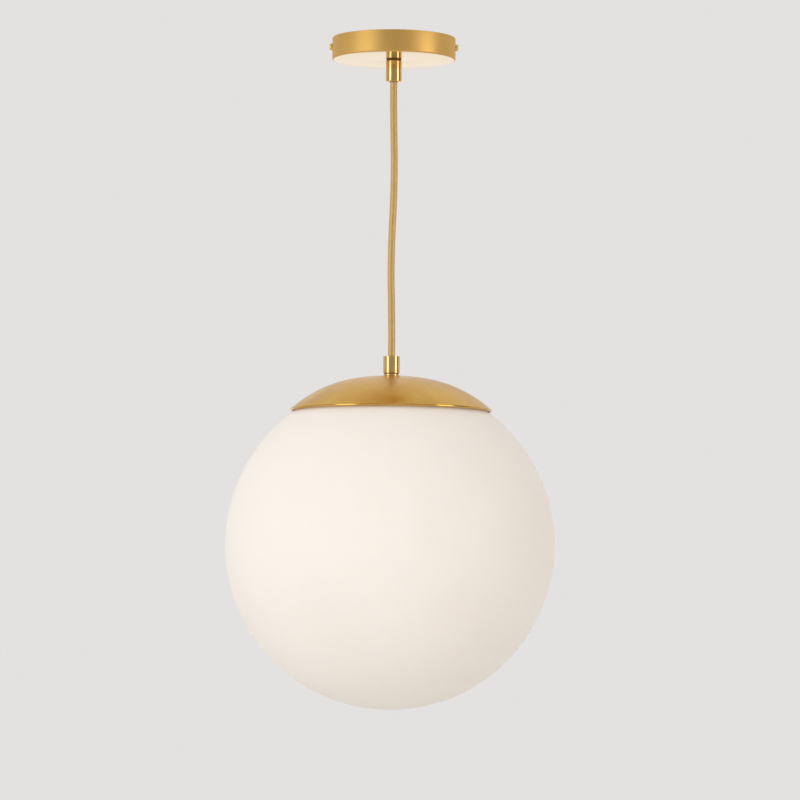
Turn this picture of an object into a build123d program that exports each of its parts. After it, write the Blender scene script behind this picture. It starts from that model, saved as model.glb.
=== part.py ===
from build123d import *
from math import acos, asin, cos, degrees, pi, radians, sqrt, tan
import os

# Pendant ceiling light: a brass ceiling cup, a textile flex, a brass dome cap and an opal glass
# globe. Millimetres, +Z up. The origin is the centre of the ceiling plane and all hangs below it.

# ---------------------------------------------------------------- driving dimensions
GLOBE_D = 300.0
GLOBE_WALL = 3.0
GLOBE_CENTRE_Z = -463.9
MOUTH_R = 50.0

CANOPY_D = 113.0
CANOPY_H = 20.0
SHEET = 1.0
SIDE_SCREW_Z = -8.0

GRIP_UP_D = 14.6
GRIP_UP_LEN = 18.8
COLLAR_UP_D = 14.2
COLLAR_UP_H = 0.9
GRIP_LOW_D = 15.4
GRIP_LOW_LEN = 15.5
COLLAR_LOW_D = 14.0
COLLAR_LOW_H = 2.3

CORD_D = 6.5
CORE_D = 2.2
CORE_RING_R = 1.35

CAP_CROWN_R = 215.0
CAP_CROWN_EDGE = 30.0
CAP_SHOULDER_R = 116.0
CAP_SHEET = 1.2
CAP_APEX_Z = -310.0
CAP_RIM_R = 92.3
CAP_BEAD_R = 1.2

BULB_D = 60.0
BULB_LEN = 108.0

# ---------------------------------------------------------------- standard sizes
THREAD_R = 5.0
NIPPLE_BORE_R = 4.0
FIT = 0.05
NUT_AF = 14.0
NUT_H = 4.5
WASHER_R = 9.0
WASHER_H = 1.0
GRUB_R = 1.5
CORD_BORE_R = 3.5
E27_SHELL_R = 13.1

# ---------------------------------------------------------------- levels down the axis
CANOPY_FLOOR_Z = -CANOPY_H + SHEET
GRIP_UP_TOP = -CANOPY_H - COLLAR_UP_H
GRIP_UP_BOTTOM = GRIP_UP_TOP - GRIP_UP_LEN
GRIP_LOW_BOTTOM = CAP_APEX_Z + COLLAR_LOW_H
GRIP_LOW_TOP = GRIP_LOW_BOTTOM + GRIP_LOW_LEN
CAP_INNER_APEX_Z = CAP_APEX_Z - CAP_SHEET
WASHER_LOW_TOP = CAP_INNER_APEX_Z - 0.2
NUT_CAP_TOP = WASHER_LOW_TOP - WASHER_H
PLATE_TOP = NUT_CAP_TOP - NUT_H
PLATE_T = 1.5
PLATE_BOTTOM = PLATE_TOP - PLATE_T
HOLDER_TOP = PLATE_BOTTOM - NUT_H
GLOBE_R = GLOBE_D / 2

os.makedirs("parts", exist_ok=True)


def save(builder, label):
    """Label a finished piece and write it as its own STEP file."""
    builder.part.label = label
    export_step(builder.part, f"parts/{label}.step")


def ring(label, outer_r, inner_r, top, height, edge=0.0):
    """A turned ring or tube about the hanging axis, reaching down from top."""
    with BuildPart() as piece:
        with BuildSketch(Plane.XY.offset(top - height)):
            Circle(outer_r)
            Circle(inner_r, mode=Mode.SUBTRACT)
        extrude(amount=height)
        if edge:
            rims = piece.edges().filter_by(GeomType.CIRCLE).filter_by(lambda e: e.radius > inner_r + 0.1)
            fillet(rims, radius=edge)
    save(piece, label)


def toothed_washer(label, top):
    """A thin washer with teeth round its outside, which bite into the sheet metal."""
    with BuildPart() as washer:
        with BuildSketch(Plane.XY.offset(top - WASHER_H)):
            Circle(WASHER_R)
            Circle(THREAD_R + FIT, mode=Mode.SUBTRACT)
            with PolarLocations(WASHER_R, 12):
                Rectangle(3.0, 1.6, mode=Mode.SUBTRACT)
        extrude(amount=WASHER_H)
    save(washer, label)


def lock_nuts(label, tops):
    """Hexagonal M10 x 1 lock nuts, one solid for each top level."""
    with BuildPart() as nuts:
        for top in tops:
            with BuildSketch(Plane.XY.offset(top - NUT_H)):
                RegularPolygon(radius=NUT_AF / 2, side_count=6, major_radius=False)
                Circle(THREAD_R + FIT, mode=Mode.SUBTRACT)
            extrude(amount=NUT_H)
    save(nuts, label)


def core(label, points, bend):
    """One insulated conductor of the flex, along its own route."""
    with BuildPart() as wire:
        with BuildLine():
            route = FilletPolyline(*points, radius=bend)
        with BuildSketch(Plane(origin=route @ 0, z_dir=route % 0)):
            Circle(CORE_D / 2)
        sweep()
    save(wire, label)


def on_sphere(radius_from_axis, sphere_r):
    """Angle above the equator, in degrees, of a point of a sphere's outline."""
    return degrees(acos(radius_from_axis / sphere_r))


# The cap's outline is two arcs that meet without a corner: a flat crown and a rounder shoulder.
CROWN_TILT = degrees(asin(CAP_CROWN_EDGE / CAP_CROWN_R))
SHOULDER_X = CAP_CROWN_EDGE * (1 - CAP_SHOULDER_R / CAP_CROWN_R)
SHOULDER_Z = CAP_APEX_Z - CAP_CROWN_R + (CAP_CROWN_R - CAP_SHOULDER_R) * cos(radians(CROWN_TILT))


def cap_lining_z(radius_from_axis):
    """Height of the cap's underside at a point of its shoulder."""
    reach = radius_from_axis - SHOULDER_X
    return SHOULDER_Z + sqrt((CAP_SHOULDER_R - CAP_SHEET) ** 2 - reach**2)


# ================================================================ ceiling bracket
STRAP_T = 1.5
STRAP_W = 20.0
STRAP_HALF = CANOPY_D / 2 - SHEET - 1.5
TAB_H = 14.0
TONGUE_W = 24.0
BLOCK_Y = 24.0
TONGUE_END_Y = 36.0
SLOT_SPACING = 60.0
SLOT_LEN = 14.0
SLOT_W = 5.0
SUPPLY_HOLE_R = 7.0
EARTH_X = -15.0
SIDE_SCREW_R = 2.0
BLOCK_SCREW_X = 5.0

with BuildPart() as mounting_bracket:
    with BuildSketch(Plane.XY.offset(-STRAP_T)):
        Rectangle(2 * STRAP_HALF, STRAP_W)
        with Locations((0, TONGUE_END_Y / 2)):
            Rectangle(TONGUE_W, TONGUE_END_Y)
        with Locations((-SLOT_SPACING / 2, 0), (SLOT_SPACING / 2, 0)):
            SlotOverall(SLOT_LEN, SLOT_W, mode=Mode.SUBTRACT)
        Circle(SUPPLY_HOLE_R, mode=Mode.SUBTRACT)
        with Locations((EARTH_X, 0)):
            Circle(SIDE_SCREW_R + FIT, mode=Mode.SUBTRACT)
        with Locations((BLOCK_SCREW_X, BLOCK_Y)):
            Circle(GRUB_R + FIT, mode=Mode.SUBTRACT)
    extrude(amount=STRAP_T)
    with BuildSketch(Plane.XY.offset(-TAB_H)):
        with Locations((STRAP_HALF - STRAP_T / 2, 0), (STRAP_T / 2 - STRAP_HALF, 0)):
            Rectangle(STRAP_T, STRAP_W)
    extrude(amount=TAB_H - STRAP_T / 2)
    inside_corners = mounting_bracket.edges().filter_by(Axis.Y)
    inside_corners = inside_corners.filter_by_position(Axis.Z, -STRAP_T - 0.01, -STRAP_T + 0.01)
    fillet(inside_corners, radius=1.0)
    with BuildSketch(Plane.YZ):
        with Locations((0, SIDE_SCREW_Z)):
            Circle(SIDE_SCREW_R + FIT)
    extrude(amount=STRAP_HALF + 1, both=True, mode=Mode.SUBTRACT)
save(mounting_bracket, "mounting_bracket")

# ================================================================ ceiling cup and its screws
with BuildPart() as canopy:
    with BuildSketch(Plane.XY.offset(-CANOPY_H)):
        Circle(CANOPY_D / 2)
    extrude(amount=CANOPY_H)
    fillet(canopy.edges().group_by(Axis.Z)[0], radius=2.2)
    offset(amount=-SHEET, openings=canopy.faces().sort_by(Axis.Z)[-1])
    with BuildSketch(Plane.XY.offset(-CANOPY_H)):
        Circle(THREAD_R + FIT)
    extrude(amount=SHEET * 2, mode=Mode.SUBTRACT)
    with BuildSketch(Plane.YZ):
        with Locations((0, SIDE_SCREW_Z)):
            Circle(SIDE_SCREW_R + 2 * FIT)
    extrude(amount=CANOPY_D, both=True, mode=Mode.SUBTRACT)
save(canopy, "canopy")

SIDE_HEAD_R = 3.3
SIDE_HEAD_H = 2.6
SIDE_SHANK = 7.5

with BuildPart() as canopy_screws:
    for side in (-1, 1):
        head_plane = Plane(origin=(side * CANOPY_D / 2, 0, SIDE_SCREW_Z), z_dir=(side, 0, 0))
        with BuildSketch(head_plane):
            Circle(SIDE_HEAD_R)
        extrude(amount=SIDE_HEAD_H)
        outer_rim = canopy_screws.edges().filter_by(GeomType.CIRCLE).sort_by(Axis.X)
        fillet(outer_rim[0 if side < 0 else -1], radius=1.5)
        with BuildSketch(head_plane):
            Circle(SIDE_SCREW_R)
        extrude(amount=-SIDE_SHANK)
        slot_plane = head_plane.offset(SIDE_HEAD_H)
        with BuildSketch(slot_plane):
            Rectangle(0.8, 2 * SIDE_HEAD_R)
        extrude(amount=-0.8, mode=Mode.SUBTRACT)
save(canopy_screws, "canopy_screws")

# ================================================================ terminal block
POLE_PITCH = 10.0
POLE_W = 8.0
POLE_LEN = 17.0
BLOCK_H = 12.0
BLOCK_TOP = -STRAP_T
WEB_H = 5.0
BLOCK_HEAD_R = 1.95
WIRE_Z = -6.5
INSERT_R = 2.4
INSERT_BORE_R = 1.7
INSERT_LEN = 15.0
CLAMP_R = 1.3
CLAMP_STEP = 4.5
POLES = [(-POLE_PITCH, BLOCK_Y), (0, BLOCK_Y), (POLE_PITCH, BLOCK_Y)]
CLAMPS = [(x, y + dy) for x, y in POLES for dy in (-CLAMP_STEP, CLAMP_STEP)]

with BuildPart() as terminal_block:
    with BuildSketch(Plane.XY.offset(BLOCK_TOP - BLOCK_H)):
        with Locations(*POLES):
            RectangleRounded(POLE_W, POLE_LEN, 1.2)
    extrude(amount=BLOCK_H)
    with BuildSketch(Plane.XY.offset(BLOCK_TOP - WEB_H)):
        with Locations((0, BLOCK_Y)):
            Rectangle(2 * POLE_PITCH, 7.0)
    extrude(amount=WEB_H)
    with BuildSketch(Plane.XZ.offset(-BLOCK_Y)):
        with Locations(*[(x, WIRE_Z) for x, y in POLES]):
            Circle(INSERT_R + FIT)
    extrude(amount=POLE_LEN, both=True, mode=Mode.SUBTRACT)
    with BuildSketch(Plane.XY.offset(BLOCK_TOP - BLOCK_H)):
        with Locations(*CLAMPS):
            Circle(2.1)
    extrude(amount=BLOCK_H + WIRE_Z - BLOCK_TOP, mode=Mode.SUBTRACT)
    with BuildSketch(Plane.XY.offset(BLOCK_TOP - WEB_H)):
        with Locations((BLOCK_SCREW_X, BLOCK_Y)):
            Circle(GRUB_R + FIT)
    extrude(amount=WEB_H, mode=Mode.SUBTRACT)
    with BuildSketch(Plane.XY.offset(BLOCK_TOP - BLOCK_H)):
        with Locations((BLOCK_SCREW_X, BLOCK_Y)):
            Circle(BLOCK_HEAD_R + 3 * FIT)
    extrude(amount=BLOCK_H - WEB_H, mode=Mode.SUBTRACT)
save(terminal_block, "terminal_block")

with BuildPart() as terminal_inserts:
    with BuildSketch(Plane.XZ.offset(-BLOCK_Y)):
        with Locations(*[(x, WIRE_Z) for x, y in POLES]):
            Circle(INSERT_R)
            Circle(INSERT_BORE_R, mode=Mode.SUBTRACT)
    extrude(amount=INSERT_LEN / 2, both=True)
    with BuildSketch(Plane.XY.offset(WIRE_Z - INSERT_R)):
        with Locations(*CLAMPS):
            Circle(CLAMP_R + FIT)
    extrude(amount=INSERT_R, mode=Mode.SUBTRACT)
save(terminal_inserts, "terminal_inserts")

CLAMP_HEAD_Z = BLOCK_TOP - BLOCK_H + 1.0
with BuildPart() as terminal_screws:
    with BuildSketch(Plane.XY.offset(CLAMP_HEAD_Z)):
        with Locations(*CLAMPS):
            Circle(1.9)
    extrude(amount=1.4)
    with BuildSketch(Plane.XY.offset(CLAMP_HEAD_Z)):
        with Locations(*CLAMPS):
            Circle(CLAMP_R)
    extrude(amount=WIRE_Z - INSERT_BORE_R + 0.5 - CLAMP_HEAD_Z)
    with BuildSketch(Plane.XY.offset(CLAMP_HEAD_Z)):
        with Locations(*CLAMPS):
            Rectangle(4.0, 0.6)
    extrude(amount=0.6, mode=Mode.SUBTRACT)
save(terminal_screws, "terminal_screws")

BLOCK_HEAD_TOP = BLOCK_TOP - WEB_H
with BuildPart() as terminal_block_screw:
    with BuildSketch(Plane.XY.offset(BLOCK_HEAD_TOP - 1.8)):
        with Locations((BLOCK_SCREW_X, BLOCK_Y)):
            Circle(BLOCK_HEAD_R)
    extrude(amount=1.8)
    with BuildSketch(Plane.XY.offset(BLOCK_HEAD_TOP)):
        with Locations((BLOCK_SCREW_X, BLOCK_Y)):
            Circle(GRUB_R)
    extrude(amount=-BLOCK_HEAD_TOP - 0.3)
save(terminal_block_screw, "terminal_block_screw")

# ================================================================ earth bond on the bracket
TAG_T = 0.8
BARREL_Z = -3.25
BARREL_R = 1.7
with BuildPart() as earth_tag:
    with BuildSketch(Plane.XY.offset(-STRAP_T - TAG_T)):
        with Locations((EARTH_X, 0)):
            Circle(4.0)
        with Locations((EARTH_X, 3.5)):
            Rectangle(2.6, 5.0)
        with Locations((EARTH_X, 0)):
            Circle(SIDE_SCREW_R + FIT, mode=Mode.SUBTRACT)
    extrude(amount=TAG_T)
    with BuildSketch(Plane.XZ.offset(-5.0)):
        with Locations((EARTH_X, BARREL_Z)):
            Circle(BARREL_R)
    extrude(amount=-6.0)
    with BuildSketch(Plane.XZ.offset(-7.0)):
        with Locations((EARTH_X, BARREL_Z)):
            Circle(CORE_D / 2 + FIT)
    extrude(amount=-4.0, mode=Mode.SUBTRACT)
save(earth_tag, "earth_tag")

with BuildPart() as earth_screw:
    with BuildSketch(Plane.XY.offset(-STRAP_T - TAG_T - 2.2)):
        with Locations((EARTH_X, 0)):
            Circle(3.5)
    extrude(amount=2.2)
    fillet(earth_screw.edges().group_by(Axis.Z)[0], radius=0.8)
    with BuildSketch(Plane.XY.offset(-STRAP_T - TAG_T)):
        with Locations((EARTH_X, 0)):
            Circle(SIDE_SCREW_R)
    extrude(amount=STRAP_T + TAG_T - 0.3)
save(earth_screw, "earth_screw")

core(
    "earth_lead",
    [
        (0, BLOCK_Y + 5, WIRE_Z),
        (0, BLOCK_Y + 15, WIRE_Z),
        (-19.5, BLOCK_Y + 13, WIRE_Z),
        (-19.5, 20, -5.0),
        (EARTH_X, 14, BARREL_Z),
        (EARTH_X, 7.2, BARREL_Z),
    ],
    2.5,
)

# ================================================================ upper nipple, nut and grip
NIPPLE_UP_TOP = -11.5
ring("upper_nipple", THREAD_R, NIPPLE_BORE_R, NIPPLE_UP_TOP, 18.6)
toothed_washer("upper_washer", CANOPY_FLOOR_Z + WASHER_H)
lock_nuts("upper_lock_nut", [CANOPY_FLOOR_Z + WASHER_H + NUT_H])
ring("upper_collar", COLLAR_UP_D / 2, THREAD_R + FIT, -CANOPY_H, COLLAR_UP_H, edge=0.3)

THREAD_DEPTH = 9.5
MOUTH_FLARE = 1.4


def cord_grip(label, grip_d, mouth_z, thread_z, sign):
    """A turned cord grip: a threaded socket at thread_z and a flared cord bore at mouth_z.

    sign is +1 when the socket is above the mouth and -1 when it is below.
    """
    outer = grip_d / 2
    socket = THREAD_R + FIT
    step_z = thread_z - sign * THREAD_DEPTH
    flare_z = mouth_z + sign * MOUTH_FLARE
    with BuildPart() as grip:
        with BuildSketch(Plane.XZ):
            with BuildLine():
                Line((socket, thread_z), (outer, thread_z))
                Line((outer, thread_z), (outer, mouth_z))
                Line((outer, mouth_z), (CORD_BORE_R + MOUTH_FLARE, mouth_z))
                Line((CORD_BORE_R + MOUTH_FLARE, mouth_z), (CORD_BORE_R, flare_z))
                Line((CORD_BORE_R, flare_z), (CORD_BORE_R, step_z))
                Line((CORD_BORE_R, step_z), (socket, step_z))
                Line((socket, step_z), (socket, thread_z))
            make_face()
        revolve(axis=Axis.Z)
        rims = grip.edges().filter_by(GeomType.CIRCLE).filter_by(lambda e: e.radius > outer - 0.1)
        fillet(rims, radius=0.4)
        with BuildSketch(Plane.XZ):
            with Locations((0, mouth_z + sign * 4.5)):
                Circle(GRUB_R + FIT)
        extrude(amount=-grip_d, mode=Mode.SUBTRACT)
    save(grip, label)
    with BuildPart() as grub:
        with BuildSketch(Plane.XZ.offset(-CORD_D / 2 - 0.05)):
            with Locations((0, mouth_z + sign * 4.5)):
                Circle(GRUB_R)
        extrude(amount=-(outer - CORD_D / 2 - 0.35))
        with BuildSketch(Plane.XZ.offset(-outer + 0.3)):
            with Locations((0, mouth_z + sign * 4.5)):
                RegularPolygon(radius=0.75, side_count=6, major_radius=False)
        extrude(amount=1.2, mode=Mode.SUBTRACT)
    save(grub, label.replace("cord_grip", "grip_screw"))


cord_grip("upper_cord_grip", GRIP_UP_D, GRIP_UP_BOTTOM, GRIP_UP_TOP, 1)

# ================================================================ the flex
# The free stretch hangs under load, with the slight set that textile flex keeps from its coil.
CORD_ROUTE = [
    (0, 0, GRIP_UP_BOTTOM),
    (0, 0, -70.0),
    (1.7, -0.3, -129.0),
    (-1.6, 0.3, -205.0),
    (0, 0, -258.0),
    (0, 0, GRIP_LOW_TOP),
]


def corner_radii(points):
    """The largest arc that each corner's two runs allow."""
    vectors = [Vector(*p) for p in points]
    radii = []
    for before, here, after in zip(vectors, vectors[1:], vectors[2:]):
        turn = (here - before).get_angle(after - here)
        shorter = min((here - before).length, (after - here).length)
        radii.append(0.45 * shorter / tan(radians(turn / 2)))
    return radii


CORD_RADII = corner_radii(CORD_ROUTE)
with BuildPart() as cord:
    with BuildLine():
        cord_line = FilletPolyline(*CORD_ROUTE, radius=CORD_RADII)
    with BuildSketch(Plane(origin=cord_line @ 0, z_dir=cord_line % 0)):
        Circle(CORD_D / 2)
    sweep()
save(cord, "cord")
print("cord radii", [round(r, 1) for r in CORD_RADII], "length", round(cord_line.length, 2))
print("cord volume", round(cord.part.volume, 1), "section x length",
      round(pi * CORD_D**2 / 4 * cord_line.length, 1))

TAIL_UP_TOP = -14.0
TAIL_LOW_BOTTOM = HOLDER_TOP - 11.0
for tail_label, tail_top, tail_bottom in (
    ("cord_tail_upper", TAIL_UP_TOP, GRIP_UP_BOTTOM),
    ("cord_tail_lower", GRIP_LOW_TOP, TAIL_LOW_BOTTOM),
):
    with BuildPart() as tail:
        with BuildSketch(Plane.XY.offset(tail_bottom)):
            Circle(CORD_D / 2)
        extrude(amount=tail_top - tail_bottom)
    save(tail, tail_label)

CORE_X = CORE_RING_R * sqrt(3) / 2
CORE_Y = CORE_RING_R / 2
for core_label, side in (("core_brown_upper", -1), ("core_blue_upper", 1)):
    core(
        core_label,
        [
            (side * CORE_X, CORE_Y, TAIL_UP_TOP),
            (side * CORE_X, CORE_Y, -9.3),
            (side * POLE_PITCH, 9.5, WIRE_Z),
            (side * POLE_PITCH, BLOCK_Y - 5, WIRE_Z),
        ],
        2.0,
    )
core(
    "core_earth_upper",
    [
        (0, -CORE_RING_R, TAIL_UP_TOP),
        (0, -CORE_RING_R, -5.0),
        (0, 8.0, -5.0),
        (0, 13.0, WIRE_Z),
        (0, BLOCK_Y - 5, WIRE_Z),
    ],
    2.0,
)

# ================================================================ lower grip and dome cap
cord_grip("lower_cord_grip", GRIP_LOW_D, GRIP_LOW_TOP, GRIP_LOW_BOTTOM, -1)
ring("lower_collar", COLLAR_LOW_D / 2, THREAD_R + FIT, GRIP_LOW_BOTTOM, COLLAR_LOW_H, edge=0.5)

with BuildPart() as dome_cap:
    with BuildSketch(Plane.XZ):
        hole_angle = on_sphere(THREAD_R + FIT, CAP_CROWN_R)
        rim_angle = on_sphere(CAP_RIM_R - CAP_BEAD_R - SHOULDER_X, CAP_SHOULDER_R - CAP_SHEET / 2)
        join_angle = 90 - CROWN_TILT
        rim_ends, hole_ends = [], []
        with BuildLine():
            for inset in (0, CAP_SHEET):
                shoulder = CenterArc(
                    (SHOULDER_X, SHOULDER_Z), CAP_SHOULDER_R - inset, rim_angle, join_angle - rim_angle
                )
                crown = CenterArc(
                    (0, CAP_APEX_Z - CAP_CROWN_R), CAP_CROWN_R - inset, join_angle, hole_angle - join_angle
                )
                rim_ends.append(shoulder @ 0)
                hole_ends.append(crown @ 1)
            Line(*rim_ends)
            Line(*hole_ends)
        make_face()
        with Locations((rim_ends[0] + rim_ends[1]) / 2):
            Circle(CAP_BEAD_R)
    revolve(axis=Axis.Z)
    with BuildSketch(Plane.XY.offset(CAP_APEX_Z - 5)):
        Circle(THREAD_R + FIT)
    extrude(amount=10, mode=Mode.SUBTRACT)
save(dome_cap, "dome_cap")

# ================================================================ inside the cap
NIPPLE_LOW_TOP = GRIP_LOW_BOTTOM + THREAD_DEPTH - 0.5
ring("lower_nipple", THREAD_R, NIPPLE_BORE_R, NIPPLE_LOW_TOP, NIPPLE_LOW_TOP - HOLDER_TOP + 9.0)
toothed_washer("lower_washer", WASHER_LOW_TOP)
lock_nuts("lower_lock_nuts", [NUT_CAP_TOP, PLATE_BOTTOM])

PLATE_R = 36.0
SPRING_ANGLE = 30.0
RIVET_RADII = (27.0, 33.0)
RIVET_R = 1.5
SPRING_T = 0.5
SPRING_W = 12.0

with BuildPart() as holder_plate:
    with BuildSketch(Plane.XY.offset(PLATE_BOTTOM)):
        Circle(PLATE_R)
        Circle(THREAD_R + FIT, mode=Mode.SUBTRACT)
        with PolarLocations(20.0, 3, start_angle=SPRING_ANGLE + 60):
            Circle(7.0, mode=Mode.SUBTRACT)
        for rivet_radius in RIVET_RADII:
            with PolarLocations(rivet_radius, 3, start_angle=SPRING_ANGLE):
                Circle(RIVET_R + FIT, mode=Mode.SUBTRACT)
    extrude(amount=PLATE_T)
save(holder_plate, "holder_plate")

# Each leaf runs out under the plate, down through the globe's mouth, and up to bear under its rim.
SPRING_Z = PLATE_BOTTOM - SPRING_T / 2
KNEE_Z = GLOBE_CENTRE_Z + sqrt((GLOBE_R - GLOBE_WALL) ** 2 - 57.0**2) - 1.2
with BuildPart() as one_spring:
    with BuildSketch(Plane.XZ):
        with BuildLine():
            FilletPolyline(
                (22.0, SPRING_Z),
                (39.0, SPRING_Z),
                (44.0, SPRING_Z - 15.5),
                (57.0, KNEE_Z),
                (61.0, KNEE_Z - 5.0),
                radius=1.5,
            )
        trace(line_width=SPRING_T)
    extrude(amount=SPRING_W / 2, both=True)
    with BuildSketch(Plane.XY.offset(SPRING_Z - 1)):
        with Locations(*[(r, 0) for r in RIVET_RADII]):
            Circle(RIVET_R + FIT)
    extrude(amount=2, mode=Mode.SUBTRACT)

with BuildPart() as holder_springs:
    with PolarLocations(0, 3, start_angle=SPRING_ANGLE):
        add(one_spring.part)
save(holder_springs, "holder_springs")

with BuildPart() as holder_rivets:
    for level, height, radius in (
        (PLATE_TOP, 1.0, 2.6),
        (PLATE_BOTTOM - SPRING_T, PLATE_T + SPRING_T, RIVET_R),
        (PLATE_BOTTOM - SPRING_T - 1.0, 1.0, 2.6),
    ):
        with BuildSketch(Plane.XY.offset(level)):
            for rivet_radius in RIVET_RADII:
                with PolarLocations(rivet_radius, 3, start_angle=SPRING_ANGLE):
                    Circle(radius)
        extrude(amount=height)
save(holder_rivets, "holder_rivets")

# A soft ring seats the glass against the cap, just outside the globe's mouth.
GASKET_IN = MOUTH_R
GASKET_OUT = MOUTH_R + 6.0
GASKET_GAP = 0.3
with BuildPart() as globe_gasket:
    with BuildSketch(Plane.XZ):
        with BuildLine():
            Polyline(
                (GASKET_IN, cap_lining_z(GASKET_IN) - 0.08),
                (GASKET_OUT, cap_lining_z(GASKET_OUT) - 0.08),
                (GASKET_OUT, GLOBE_CENTRE_Z + sqrt(GLOBE_R**2 - GASKET_OUT**2) + GASKET_GAP + 0.1),
                (GASKET_IN, GLOBE_CENTRE_Z + sqrt(GLOBE_R**2 - GASKET_IN**2) + GASKET_GAP + 0.1),
                close=True,
            )
        make_face()
    revolve(axis=Axis.Z)
save(globe_gasket, "globe_gasket")

# ================================================================ opal glass globe
with BuildPart() as globe:
    with BuildSketch(Plane.XZ):
        outer_start = on_sphere(MOUTH_R, GLOBE_R)
        inner_start = on_sphere(MOUTH_R, GLOBE_R - GLOBE_WALL)
        with BuildLine():
            skin = CenterArc((0, GLOBE_CENTRE_Z), GLOBE_R, -90, 90 + outer_start)
            lining = CenterArc((0, GLOBE_CENTRE_Z), GLOBE_R - GLOBE_WALL, -90, 90 + inner_start)
            Line(skin @ 0, lining @ 0)
            Line(skin @ 1, lining @ 1)
        make_face()
    revolve(axis=Axis.Z)
    mouth_edges = globe.edges().filter_by(GeomType.CIRCLE)
    mouth_edges = mouth_edges.filter_by(lambda e: abs(e.radius - MOUTH_R) < 0.01)
    fillet(mouth_edges, radius=1.2)
save(globe, "globe")

# ================================================================ E27 lampholder
HOLDER_R = 20.0
HOLDER_WALL = 1.0
NECK_R = 8.0
NECK_H = 10.0
NECK_BOTTOM = HOLDER_TOP - NECK_H
DOME_BOTTOM = NECK_BOTTOM - 12.0
SKIRT_TOP = DOME_BOTTOM - 8.0
SKIRT_BOTTOM = SKIRT_TOP - 26.0
INSULATOR_TOP = DOME_BOTTOM - 4.0
SHELL_TOP = INSULATOR_TOP - 8.5
EARTH_SCREW_Z = INSULATOR_TOP + 3.0
EARTH_SCREW_R = 1.5

with BuildPart() as lampholder_cap:
    with BuildSketch(Plane.XZ):
        with BuildLine():
            top_face = Line((THREAD_R + FIT, HOLDER_TOP), (NECK_R, HOLDER_TOP))
            neck = Line(top_face @ 1, (NECK_R, NECK_BOTTOM + 0.5))
            dome = EllipticalCenterArc(
                (NECK_R, DOME_BOTTOM), HOLDER_R - NECK_R, NECK_BOTTOM + 0.5 - DOME_BOTTOM
            )
            wall = Line(dome @ 0, (HOLDER_R, SKIRT_TOP))
            lip = Line(wall @ 1, (HOLDER_R - HOLDER_WALL, SKIRT_TOP))
            wall_inside = Line(lip @ 1, (HOLDER_R - HOLDER_WALL, DOME_BOTTOM))
            dome_inside = EllipticalCenterArc(
                (NECK_R - HOLDER_WALL, DOME_BOTTOM), HOLDER_R - NECK_R, NECK_BOTTOM - 0.5 - DOME_BOTTOM
            )
            neck_floor = Line(dome_inside @ 1, (THREAD_R + FIT, NECK_BOTTOM - 0.5))
            Line(neck_floor @ 1, top_face @ 0)
        make_face()
    revolve(axis=Axis.Z)
    with BuildSketch(Plane.XZ):
        with Locations((0, HOLDER_TOP - 4.5)):
            Circle(GRUB_R + FIT)
    extrude(amount=-NECK_R - 1, mode=Mode.SUBTRACT)
    with BuildSketch(Plane.XZ):
        with Locations((0, EARTH_SCREW_Z)):
            Circle(EARTH_SCREW_R + FIT)
    extrude(amount=HOLDER_R + 1, mode=Mode.SUBTRACT)
save(lampholder_cap, "lampholder_cap")

with BuildPart() as lampholder_lock_screw:
    with BuildSketch(Plane.XZ.offset(-THREAD_R - 0.05)):
        with Locations((0, HOLDER_TOP - 4.5)):
            Circle(GRUB_R)
    extrude(amount=-3.6)
save(lampholder_lock_screw, "lampholder_lock_screw")

with BuildPart() as lampholder_earth_screw:
    with BuildSketch(Plane.XZ.offset(HOLDER_R - HOLDER_WALL - 3.0)):
        with Locations((0, EARTH_SCREW_Z)):
            Circle(2.8)
    extrude(amount=2.0)
    with BuildSketch(Plane.XZ.offset(HOLDER_R - HOLDER_WALL - 1.0)):
        with Locations((0, EARTH_SCREW_Z)):
            Circle(EARTH_SCREW_R)
    extrude(amount=2.3)
save(lampholder_earth_screw, "lampholder_earth_screw")

SKIRT_SPIGOT_R = HOLDER_R - HOLDER_WALL - 0.1
SPIGOT_H = 3.9
with BuildPart() as lampholder_skirt:
    with BuildSketch(Plane.XZ):
        with BuildLine():
            Polyline(
                (SKIRT_SPIGOT_R, SKIRT_TOP + SPIGOT_H),
                (SKIRT_SPIGOT_R, SKIRT_TOP - 0.05),
                (HOLDER_R, SKIRT_TOP - 0.05),
                (HOLDER_R, SKIRT_BOTTOM),
                (HOLDER_R - 2.0, SKIRT_BOTTOM),
                (HOLDER_R - 2.0, SKIRT_TOP + SPIGOT_H),
                close=True,
            )
        make_face()
    revolve(axis=Axis.Z)
    fillet(lampholder_skirt.edges().group_by(Axis.Z)[0], radius=0.7)
save(lampholder_skirt, "lampholder_skirt")

INSULATOR_R = HOLDER_R - 2.1
LINER_R = 13.85
LINER_BORE_R = 13.45
INSULATOR_BOTTOM = SKIRT_BOTTOM + 2.0
with BuildPart() as lampholder_insulator:
    with BuildSketch(Plane.XY.offset(INSULATOR_BOTTOM)):
        Circle(INSULATOR_R)
    extrude(amount=INSULATOR_TOP - INSULATOR_BOTTOM)
    with BuildSketch(Plane.XY.offset(INSULATOR_BOTTOM)):
        Circle(LINER_R + FIT)
    extrude(amount=SHELL_TOP - INSULATOR_BOTTOM, mode=Mode.SUBTRACT)
    with BuildSketch(Plane.XY.offset(INSULATOR_TOP - 3.0)):
        with Locations((-10, 0), (10, 0)):
            Circle(GRUB_R + FIT)
    extrude(amount=3.0, mode=Mode.SUBTRACT)
save(lampholder_insulator, "lampholder_insulator")

ring("lampholder_liner", LINER_R, LINER_BORE_R, SHELL_TOP, SHELL_TOP - INSULATOR_BOTTOM)

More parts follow.
